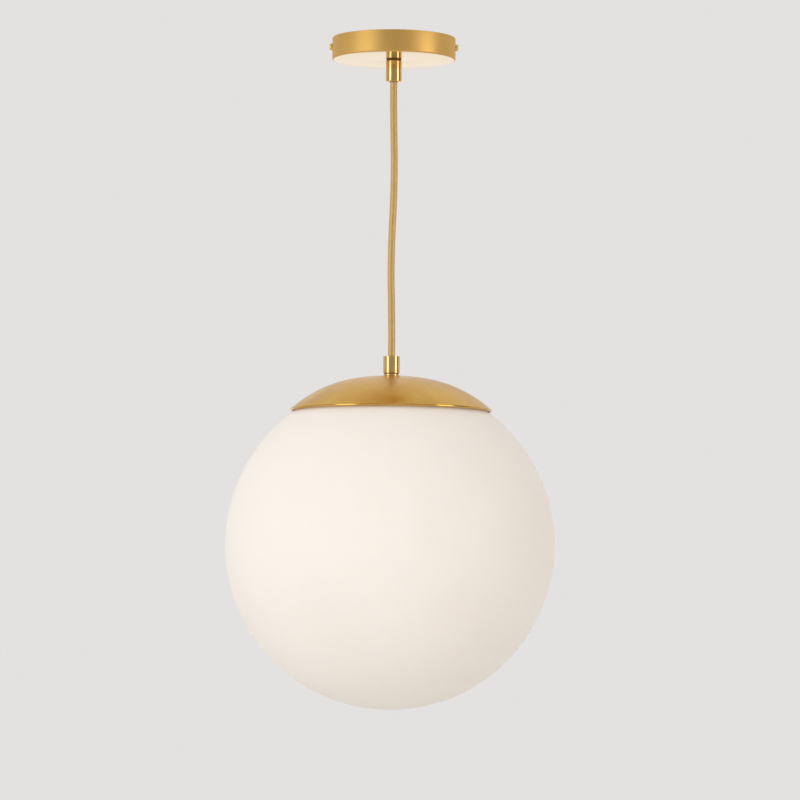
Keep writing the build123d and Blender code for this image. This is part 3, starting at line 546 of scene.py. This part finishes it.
def braided(name, line, phase, node):
    """A braided sleeve round a line: two sets of flat strands that pass over two and under two."""
    at, length = walker(line)
    pitch = BRAID_PITCH * MM
    mid_r = CORD_D / 2 - BRAID_WAVE - STRAND_HALF_T
    steps = max(8, round(length / (STRAND_STEP * MM)))
    stations = []
    for i in range(steps + 1):
        distance = length * i / steps
        place, ahead = at(distance)
        side = (AXIS_X - ahead * AXIS_X.dot(ahead)).normalized()
        stations.append((distance, place, ahead, side, ahead.cross(side)))
    vertices, faces, across = [], [], []

    def add_ring(ring, values):
        vertices.extend(ring)
        across.extend(values)

    def join_rings(start, sides, rings):
        for i in range(rings - 1):
            for k in range(sides):
                a, b = start + i * sides + k, start + i * sides + (k + 1) % sides
                faces.append((a, b, b + sides, a + sides))
        faces.append(tuple(range(start, start + sides))[::-1])
        faces.append(tuple(range(start + (rings - 1) * sides, start + rings * sides)))

    for hand in (1, -1):
        for carrier in range(BRAID_CARRIERS):
            start = len(vertices)
            for distance, place, ahead, side, back in stations:
                travel = distance + phase
                angle = hand * math.tau * travel / pitch + math.tau * carrier / BRAID_CARRIERS
                crossing = 2 * carrier + hand * travel * 2 * BRAID_CARRIERS / pitch
                lift = hand * BRAID_WAVE * math.cos(math.tau * (crossing - 0.5) / 4)
                outward = side * math.cos(angle) + back * math.sin(angle)
                round_way = back * math.cos(angle) - side * math.sin(angle)
                lean = math.atan(math.tau * mid_r * MM / pitch) * hand
                wide = round_way * math.cos(lean) - ahead * math.sin(lean)
                centre = place + outward * ((mid_r + lift) * MM)
                ring, values = [], []
                for k in range(STRAND_SIDES):
                    turn = math.tau * k / STRAND_SIDES
                    height = math.copysign(math.sqrt(abs(math.sin(turn))), math.sin(turn))
                    ring.append(centre + wide * (STRAND_HALF_W * MM * math.cos(turn))
                                + outward * (STRAND_HALF_T * MM * height))
                    values.append((travel, 0.5 + 0.5 * math.cos(turn)))
                add_ring(ring, values)
            join_rings(start, STRAND_SIDES, len(stations))
    start = len(vertices)
    turns = [math.tau * k / LINER_SIDES for k in range(LINER_SIDES)]
    for distance, place, ahead, side, back in stations:
        ring = [place + (side * math.cos(turn) + back * math.sin(turn)) * (CORD_LINER_R * MM)
                for turn in turns]
        add_ring(ring, [(distance, 0.5)] * LINER_SIDES)
    join_rings(start, LINER_SIDES, len(stations))

    mesh = bpy.data.meshes.new(name)
    mesh.from_pydata(vertices, [], faces)
    mesh.materials.append(YARN)
    layer = mesh.uv_layers.new(name="yarn")
    for loop in mesh.loops:
        layer.data[loop.index].uv = across[loop.vertex_index]
    mesh.shade_smooth()
    piece = bpy.data.objects.new(name, mesh)
    bpy.context.scene.collection.objects.link(piece)
    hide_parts(node)
    return piece, length


def make_flex():
    """The free stretch between the grips, and its two clamped ends."""
    line = route_line(CORD_ROUTE)
    flex, length = braided("flex_braid", line, 0.0, "cord")
    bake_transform(flex)
    for name, node, body, phase in (
        ("flex_end_upper", "cord_tail_upper", "ceiling_rose", None),
        ("flex_end_lower", "cord_tail_lower", "pendant", length),
    ):
        low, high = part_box(node)
        ends = [Vector((0, 0, high[2])), Vector((0, 0, low[2]))]
        if phase is None:
            phase = low[2] - high[2]
        end, _ = braided(name, ends, phase, node)
        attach(end, body)


make_flex()


# ================================================================ ceiling cup and grips
SHEET = 1.0
THREAD_HOLE_R = 5.05
CORD_BORE_R = 3.5
CORD_FLARE_R = 4.9
CORD_FLARE_DEPTH = 1.4
THREADED_DEPTH = 9.5
GRUB_HOLE_R = 1.55
GRUB_HOLE_UP = 4.5
DRILL_SPARE = 2.0
SEAM_H = 0.7
SEAM_DEPTH = 0.3


def make_canopy():
    """The spun ceiling cup, open at the ceiling."""
    radius, bottom, top = levels("canopy")
    outline = rounded(
        (radius, top, 0.3),
        (radius - SHEET, top, 0.3),
        (radius - SHEET, bottom + SHEET, 1.2),
        (THREAD_HOLE_R, bottom + SHEET, 0.15),
        (THREAD_HOLE_R, bottom, 0.15),
        (radius, bottom, 1.5),
        steps=8,
    )
    turned("canopy_cup", outline, CUP, "ceiling_rose", "canopy", facets=FINE_FACETS)


def make_grip(name, node, body, thread_z, mouth_z):
    """A turned cord grip: threaded socket at one end, flared cord bore at the other."""
    radius = levels(node)[0]
    inward = 1 if thread_z > mouth_z else -1
    step_z = thread_z - inward * THREADED_DEPTH
    outline = rounded(
        (THREAD_HOLE_R, thread_z, 0.2),
        (radius, thread_z, 0.25),
        (radius, mouth_z, 0.3),
        (CORD_FLARE_R, mouth_z, 0.35),
        (CORD_BORE_R, mouth_z + inward * CORD_FLARE_DEPTH, 0.4),
        (CORD_BORE_R, step_z, 0),
        (THREAD_HOLE_R, step_z, 0),
    )
    grip = turned(name, outline, TURNED, body, node)
    bore_grub_hole(grip, mouth_z + inward * GRUB_HOLE_UP, radius)


def bore_grub_hole(grip, height, radius):
    """Cuts the radial hole, on the far side, that the grip's grub screw sits in."""
    drill = bmesh.new()
    middle = Matrix.Translation((0, (radius / 2 + DRILL_SPARE) * MM, height * MM))
    turn = middle @ Matrix.Rotation(math.pi / 2, 4, "X")
    bmesh.ops.create_cone(drill, cap_ends=True, segments=32, radius1=GRUB_HOLE_R * MM,
                          radius2=GRUB_HOLE_R * MM, depth=(radius + DRILL_SPARE) * MM, matrix=turn)
    tool_mesh = bpy.data.meshes.new("drill")
    drill.to_mesh(tool_mesh)
    drill.free()
    tool = bpy.data.objects.new("drill", tool_mesh)
    bpy.context.scene.collection.objects.link(tool)
    cut = grip.modifiers.new("grub hole", "BOOLEAN")
    cut.object = tool
    cut.solver = "EXACT"
    bpy.context.view_layer.update()
    drilled = grip.evaluated_get(bpy.context.evaluated_depsgraph_get())
    cut_mesh = bpy.data.meshes.new_from_object(drilled)
    grip.modifiers.clear()
    grip.data = cut_mesh
    cut_mesh.set_sharp_from_angle(angle=SHARP_ANGLE)
    bpy.data.objects.remove(tool)


def make_collar(name, node, body):
    """The ring beside a grip: a groove at its top painted dark as the shadow in the seam, and a brass foot
    below it if it is tall; a short ring is painted dark all over.
    """
    radius, bottom, top = levels(node)
    seam_r, seam_z = radius - SEAM_DEPTH, top - SEAM_H
    tall = top - bottom > 2 * SEAM_H
    foot = [(seam_r, bottom, 0)]
    if tall:
        foot = [(seam_r, seam_z, 0), (radius, seam_z, 0.12), (radius, bottom, 0.12)]
    outline = rounded((THREAD_HOLE_R, top, 0.1), (seam_r, top, 0), *foot, (THREAD_HOLE_R, bottom, 0.1))
    collar = turned(name, outline, TURNED, body, node)
    # the seam band, or the whole of a short ring, takes the painted shadow material
    collar.data.materials.append(SEAM_SHADOW_PAINT)
    for face in collar.data.polygons:
        if face.center.z > seam_z * MM or not tall:
            face.material_index = 1


make_canopy()
make_grip("cord_grip_upper", "upper_cord_grip", "ceiling_rose", levels("upper_cord_grip")[2], GRIP_MOUTH_Z)
make_grip("cord_grip_lower", "lower_cord_grip", "pendant", levels("lower_cord_grip")[1], CORD_END_Z)
make_collar("collar_upper", "upper_collar", "ceiling_rose")
make_collar("collar_lower", "lower_collar", "pendant")


# ================================================================ dome cap and globe
CAP_CROWN_R = 215.0
CAP_CROWN_EDGE = 30.0
CAP_SHOULDER_R = 116.0
CAP_SHEET = 1.2
CAP_BEAD_R = 1.2
GLOBE_WALL = 3.0
MOUTH_R = 50.0


def arc(centre, radius, first, last, steps):
    """Points of a circle from one angle to another, both in radians above the horizontal."""
    angles = [first + (last - first) * k / steps for k in range(steps + 1)]
    return [centre + Vector((radius * math.cos(a), radius * math.sin(a))) for a in angles]


def make_cap():
    """The spun dome: a flat crown, a rounder shoulder and a rolled bead, open below."""
    rim_r, _, top = levels("dome_cap")
    join = math.pi / 2 - math.asin(CAP_CROWN_EDGE / CAP_CROWN_R)
    crown_at = Vector((0, top - CAP_CROWN_R))
    shoulder_at = crown_at + Vector((math.cos(join), math.sin(join))) * (CAP_CROWN_R - CAP_SHOULDER_R)
    middle_r = CAP_SHOULDER_R - CAP_SHEET / 2
    edge = math.acos((rim_r - CAP_BEAD_R - shoulder_at.x) / middle_r)
    bead_at = shoulder_at + Vector((math.cos(edge), math.sin(edge))) * middle_r
    half_gap = math.asin(CAP_SHEET / 2 / CAP_BEAD_R)
    edge += CAP_BEAD_R * math.cos(half_gap) / middle_r
    hole = math.acos(THREAD_HOLE_R / CAP_CROWN_R)
    curl = edge + math.pi / 2 - half_gap
    outline = arc(crown_at, CAP_CROWN_R, hole, join, 16)
    outline += arc(shoulder_at, CAP_SHOULDER_R, join, edge, 56)[1:]
    outline += arc(bead_at, CAP_BEAD_R, curl, curl - math.tau + 2 * half_gap, 22)
    outline += arc(shoulder_at, CAP_SHOULDER_R - CAP_SHEET, edge, join, 40)
    outline += arc(crown_at, CAP_CROWN_R - CAP_SHEET, join, hole, 12)[1:]
    turned("dome_cap_spun", outline, SATIN, "pendant", "dome_cap",
           facets=FINE_FACETS)


def make_globe():
    """The blown opal globe: a hollow sphere with a fire-polished mouth at the top."""
    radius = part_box("globe")[1][0] / MM
    centre_z = levels("globe")[1] + radius
    half = GLOBE_WALL / 2
    middle_r = radius - half
    rim_r = MOUTH_R + half
    rim = math.asin(rim_r / middle_r)
    rim_at = Vector((rim_r, centre_z + middle_r * math.cos(rim)))
    outward = Vector((math.sin(rim), math.cos(rim)))
    along = Vector((-math.cos(rim), math.sin(rim)))
    outline = dome(centre_z, radius, 0, radius, 60, upper=False)[:-1]
    outline += dome(centre_z, radius, radius, radius * math.sin(rim), 50)
    steps = 10
    for k in range(1, steps):
        turn = math.pi / 2 - math.pi * k / steps
        outline.append(rim_at + along * (half * math.cos(turn)) + outward * (half * math.sin(turn)))
    inside = radius - GLOBE_WALL
    outline += dome(centre_z, inside, inside * math.sin(rim), inside, 50)[:-1]
    outline += dome(centre_z, inside, inside, 0, 60, upper=False)
    turned("opal_globe", outline, OPAL, "shade", "globe", closed=False,
           facets=FINE_FACETS)


make_cap()
make_globe()


# ================================================================ lampholder and lamp
THREAD_PITCH = 3.6
THREAD_DEPTH = 0.45
THREAD_ROW = 0.3
LINER_SHEET = 0.35
LAMP_CAP_SHEET = 0.3
DIFFUSER_WALL = 1.2
HOLDER_NECK_R = 8.0
HOLDER_NECK_H = 9.5
HOLDER_NECK_GUIDE = 4.0
HOLDER_BAND_H = 8.0
HOLDER_WALL = 1.0
SKIRT_WALL = 2.0
SPIGOT_STEP = 1.1
SPIGOT_GAP = 0.05
PLUG_GAP = 1.05
PLUG_WALL = 1.65
FLARE_CONE = 0.62
LAMP_NECK_R = 13.7
LAMP_WALL = 1.6


def threaded_tube(name, node, body, material, outer_r, inner_r, ends):
    """A thin rolled tube with the round E27 thread, which fades out over the given ends."""
    bottom, top = levels(node)[1:]
    facets, rows = 96, round((top - bottom) / THREAD_ROW)

    def surface(base_r):
        ring = []
        for j in range(rows + 1):
            z = top + (bottom - top) * j / rows
            fade = min(1.0, (top - z) / ends[0], (z - bottom) / ends[1])
            for i in range(facets):
                angle = math.tau * i / facets
                wave = math.cos(math.tau * z / THREAD_PITCH - angle)
                r = base_r - THREAD_DEPTH * (1 - wave) * max(fade, 0.0)
                ring.append((r * MM * math.cos(angle), r * MM * math.sin(angle), z * MM))
        return ring

    outside, inside = surface(outer_r), surface(inner_r)
    vertices = outside + inside
    shift = len(outside)
    faces = []
    for j in range(rows):
        for i in range(facets):
            a, b = j * facets + i, j * facets + (i + 1) % facets
            faces.append((a, b, b + facets, a + facets))
            faces.append((shift + a + facets, shift + b + facets, shift + b, shift + a))
    for i in range(facets):
        a, b = i, (i + 1) % facets
        faces.append((a, shift + a, shift + b, b))
        a, b = rows * facets + i, rows * facets + (i + 1) % facets
        faces.append((a, b, shift + b, shift + a))
    return add_piece(name, vertices, faces, material, body, node)


def make_lampholder():
    """Brass cap and skirt with rolled edges, and the threaded liner.

    The last points of neck and lip only set the way their corners turn, and are left out.
    """
    radius, bottom, top = levels("lampholder_cap")
    neck_z = top - HOLDER_NECK_H
    spring_z = bottom + HOLDER_BAND_H
    crown = []
    steps = 24
    for k in range(steps + 1):
        turn = math.pi / 2 * k / steps
        crown.append(Vector((HOLDER_NECK_R + (radius - HOLDER_NECK_R) * math.sin(turn),
                             spring_z + (neck_z - spring_z) * math.cos(turn))))
    thinning = HOLDER_WALL / (neck_z - spring_z)
    lining = [Vector((p.x - HOLDER_WALL, p.y - thinning * (p.y - spring_z))) for p in reversed(crown)]
    inner_r = radius - HOLDER_WALL
    guide_z = top - HOLDER_NECK_GUIDE
    neck = rounded((THREAD_HOLE_R, top, 0.2), (HOLDER_NECK_R, top, 0.5), (HOLDER_NECK_R, guide_z, 0))
    lip = rounded((radius, bottom, 0.3), (inner_r, bottom, 0.3), (inner_r, spring_z, 0),
                  (radius, spring_z, 0))
    outline = neck[:-1] + crown + lip[:-2] + lining
    outline.append(Vector((THREAD_HOLE_R, neck_z - HOLDER_WALL)))
    turned("lampholder_cap_turned", outline, SATIN, "pendant", "lampholder_cap")

    radius, bottom, top = levels("lampholder_skirt")
    spigot_z = levels("lampholder_cap")[1] - SPIGOT_GAP
    outline = rounded(
        (radius - SKIRT_WALL, top, 0.2),
        (radius - SPIGOT_STEP, top, 0.2),
        (radius - SPIGOT_STEP, spigot_z, 0),
        (radius, spigot_z, 0.3),
        (radius, bottom, 0.8),
        (radius - SKIRT_WALL, bottom, 0.8),
    )
    turned("lampholder_skirt_turned", outline, SATIN, "pendant", "lampholder_skirt")
    radius = levels("lampholder_liner")[0]
    threaded_tube("lampholder_thread", "lampholder_liner", "pendant", PLAIN_BRASS,
                  radius, radius - LINER_SHEET, (1.5, 1.5))


def make_lamp():
    """The LED lamp's threaded cap, flared body and frosted dome."""
    radius = levels("bulb_cap")[0]
    threaded_tube("lamp_cap_thread", "bulb_cap", "lamp", NICKEL,
                  radius, radius - LAMP_CAP_SHEET, (1.2, 5.0))
    bottom, top = levels("bulb_diffuser")[1:]
    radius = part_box("bulb_diffuser")[1][0] / MM
    inside = radius - DIFFUSER_WALL
    centre_z = bottom + radius
    outer_edge = math.sqrt(radius**2 - (top - centre_z) ** 2)
    inner_edge = math.sqrt(inside**2 - (top - centre_z) ** 2)
    outline = dome(centre_z, radius, 0, radius, 30, upper=False)[:-1]
    outline += dome(centre_z, radius, radius, outer_edge, 16)
    outline += dome(centre_z, inside, inner_edge, inside, 16)[:-1]
    outline += dome(centre_z, inside, inside, 0, 30, upper=False)
    turned("lamp_diffuser_dome", outline, DIFFUSER, "lamp", "bulb_diffuser",
           closed=False)
    make_lamp_body()


def make_lamp_body():
    """The lamp's hollow plastic body: a plug in the cap, then a flare out to the diffuser."""
    bottom, top = levels("bulb_body")[1:]
    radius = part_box("bulb_body")[1][0] / MM
    cap_z = levels("bulb_cap")[1]
    plug_outer_r = LAMP_NECK_R - PLUG_GAP
    plug_inner_r = plug_outer_r - PLUG_WALL
    steps = 28
    flare = []
    for k in range(steps + 1):
        part = k / steps
        swell = FLARE_CONE * part + (1 - FLARE_CONE) * math.sin(part * math.pi / 2)
        flare.append(Vector((LAMP_NECK_R + (radius - LAMP_NECK_R) * swell,
                             cap_z + (bottom - cap_z) * part)))
    outline = [Vector((plug_inner_r, top)), Vector((plug_outer_r, top)), Vector((plug_outer_r, cap_z))]
    outline += flare
    outline += [Vector((p.x - LAMP_WALL, p.y)) for p in reversed(flare)]
    turned("lamp_body_flare", outline, LAMP_WHITE, "lamp", "bulb_body")


make_lampholder()
make_lamp()


# ================================================================ stage, lights and world
FLOOR_Z = -4.4
FLOOR_R = 18.0
FLOOR_SIDES = 192
LIGHT_AIM = Vector((0, 0, -0.34))
ROOM_FRONT = 0.38
ROOM_BACK = 0.78
ROOM_CEILING = 0.15
ROOM_GLOW = 0.22
ROOM_DOORWAY = 0.6


def make_floor():
    """A plain pale round floor, well below the light."""
    mesh = bpy.data.meshes.new("floor")
    angles = [math.tau * k / FLOOR_SIDES for k in range(FLOOR_SIDES)]
    rim = [(FLOOR_R * math.cos(a), FLOOR_R * math.sin(a), FLOOR_Z) for a in angles]
    mesh.from_pydata(rim, [], [tuple(range(FLOOR_SIDES))])
    floor = bpy.data.objects.new("floor", mesh)
    bpy.context.scene.collection.objects.link(floor)
    paint = Paint("floor", (0.8, 0.79, 0.78), 0.9)
    paint.colors(paint.noise(paint.place(), 0.8), (0.3, (0.79, 0.78, 0.77)), (0.7, (0.81, 0.8, 0.79)))
    paint.shader.inputs["Emission Color"].default_value = (1.0, 0.98, 0.95, 1.0)
    paint.shader.inputs["Emission Strength"].default_value = 0.11
    mesh.materials.append(paint.material)


def softbox(name, azimuth, distance, height, width, tall, radiance, color, mirrored=True):
    """A rectangular softbox at an angle round from the camera's side, aimed at the light."""
    data = bpy.data.lights.new(name, "AREA")
    data.shape = "RECTANGLE"
    data.size, data.size_y = width, tall
    data.energy = radiance * math.pi * width * tall
    data.color = color
    box = bpy.data.objects.new(name, data)
    bpy.context.scene.collection.objects.link(box)
    turn = math.radians(azimuth)
    box.location = (distance * math.sin(turn), -distance * math.cos(turn), height)
    box.rotation_euler = (box.location - LIGHT_AIM).to_track_quat("Z", "Y").to_euler()
    box.visible_camera = False
    box.visible_glossy = mirrored


def make_world():
    """A pale studio: darker behind the camera and in a doorway on the right, brightest low down behind."""
    world = bpy.data.worlds.new("studio")
    world.use_nodes = True
    nodes, links = world.node_tree.nodes, world.node_tree.links

    def ramp(source, start, end, low, high):
        node = nodes.new("ShaderNodeMapRange")
        for name, number in (("From Min", start), ("From Max", end), ("To Min", low), ("To Max", high)):
            node.inputs[name].default_value = number
        links.new(source, node.inputs["Value"])
        return node.outputs["Result"]

    def compute(operation, *values):
        node = nodes.new("ShaderNodeMath")
        node.operation = operation
        for socket, value in zip(node.inputs, values):
            links.new(value, socket)
        return node.outputs["Value"]

    plain = nodes["Background"]
    plain.inputs["Color"].default_value = (0.775, 0.757, 0.745, 1.0)
    room = nodes.new("ShaderNodeBackground")
    room.inputs["Color"].default_value = (1.0, 0.98, 0.955, 1.0)
    where = nodes.new("ShaderNodeTexCoord")
    split = nodes.new("ShaderNodeSeparateXYZ")
    links.new(where.outputs["Generated"], split.inputs["Vector"])
    right, back, up = (split.outputs[axis] for axis in "XYZ")
    walls = ramp(back, -1.0, 1.0, ROOM_FRONT, ROOM_BACK)
    ceiling = ramp(up, 0.2, 0.9, 0.0, ROOM_CEILING)
    low_glow = ramp(up, 0.0, -0.12, 0.0, ROOM_GLOW)
    far_side = ramp(back, 0.4, 0.95, 0.0, 1.0)
    bright = compute("MULTIPLY_ADD", low_glow, far_side, compute("ADD", walls, ceiling))
    opening = ramp(compute("ABSOLUTE", back), 0.12, 0.28, ROOM_DOORWAY, 0.0)
    doorway = compute("MULTIPLY", opening, ramp(right, 0.5, 0.8, 0.0, 1.0))
    level = compute("MULTIPLY", bright, ramp(doorway, 0.0, 1.0, 1.0, 0.0))
    links.new(level, room.inputs["Strength"])
    choose = nodes.new("ShaderNodeMixShader")
    rays = nodes.new("ShaderNodeLightPath")
    links.new(rays.outputs["Is Camera Ray"], choose.inputs["Fac"])
    links.new(room.outputs["Background"], choose.inputs[1])
    links.new(plain.outputs["Background"], choose.inputs[2])
    links.new(choose.outputs["Shader"], nodes["World Output"].inputs["Surface"])
    bpy.context.scene.world = world


make_floor()
softbox("window_left", azimuth=-52, distance=2.5, height=-0.1, width=1.1, tall=2.0,
        radiance=1.95, color=(0.985, 1.0, 1.0))
softbox("window_right", azimuth=63, distance=2.5, height=-0.1, width=0.9, tall=1.8,
        radiance=2.4, color=(1.0, 0.955, 0.9))
softbox("key", azimuth=-20, distance=3.4, height=0.0, width=2.8, tall=2.2,
        radiance=2.2, color=(1.0, 0.94, 0.88), mirrored=False)
make_world()
bpy.context.scene.view_settings.view_transform = "Standard"
